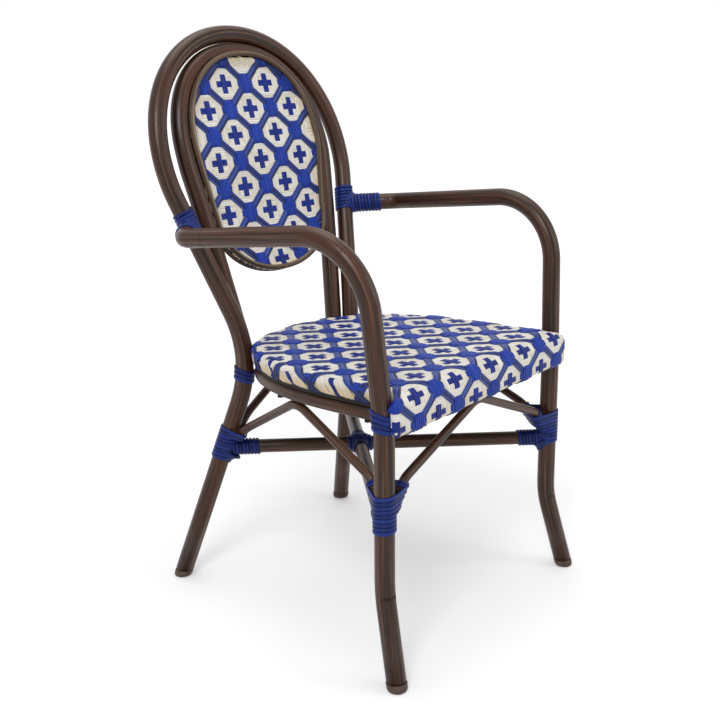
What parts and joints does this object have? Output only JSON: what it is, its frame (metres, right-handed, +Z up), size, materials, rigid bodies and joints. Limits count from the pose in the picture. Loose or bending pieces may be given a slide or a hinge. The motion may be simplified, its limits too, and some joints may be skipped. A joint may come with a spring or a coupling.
{
  "type": "bistro armchair",
  "caption": "Terrace armchair with a bent tube frame, a round hoop back with a woven oval, a woven seat, arched braces and lashed joints.",
  "frame": {"origin": "middle of the bottom of the whole chair's box, on the floor", "axes": "+Z up, the sitter faces -Y, +X towards the sitter's left arm"},
  "size_m": [0.5428, 0.596, 0.9371],
  "materials": {
    "rattan": "dark brown rattan grain, satin",
    "trim": "light bronze, satin",
    "blue": "dark blue flat strand, satin",
    "weave": "blue and cream flat strand, woven, satin",
    "rubber": "black, matt",
    "metal": "bare, hidden"
  },
  "bodies": {
    "root": {"outer_back_hoop": "rattan", "inner_back_hoop": "rattan", "front_leg_and_arm_left": "rattan", "front_leg_and_arm_right": "rattan", "seat_rail": "rattan", "front_seat_rail": "rattan", "long_stretcher": "rattan", "short_stretcher_front": "rattan", "short_stretcher_rear": "rattan", "brace_left": "rattan", "brace_right": "rattan", "brace_front": "rattan", "brace_rear": "rattan", "back_trim_ring_front": "trim", "back_trim_ring_rear": "trim", "back_panel_frame": "metal", "back_weave_panel": "weave", "seat_weave": "weave", "seat_frame": "metal", "seat_crossbar_front": "metal", "seat_crossbar_middle": "metal", "seat_crossbar_rear": "metal", "seat_screw_front_left": "metal", "seat_screw_front_right": "metal", "seat_screw_rear_left": "metal", "seat_screw_rear_right": "metal", "foot_front_left": "rubber", "foot_front_right": "rubber", "foot_rear_left": "rubber", "foot_rear_right": "rubber", "inner_hoop_plug_left": "rubber", "inner_hoop_plug_right": "rubber", "binding_front_leg_left": "blue", "binding_front_leg_right": "blue", "binding_rear_leg_left": "blue", "binding_rear_leg_right": "blue", "binding_front_rail_left": "blue", "binding_front_rail_right": "blue", "binding_rear_rail_left": "blue", "binding_rear_rail_right": "blue", "binding_hoop_left": "blue", "binding_hoop_right": "blue", "binding_arm_left": "blue", "binding_arm_right": "blue", "binding_stretcher_rear_right": "blue", "binding_stretcher_rear_left": "blue", "binding_stretcher_front_left": "blue", "binding_stretcher_front_right": "blue", "binding_crossing": "blue"}
  },
  "joints": []
}
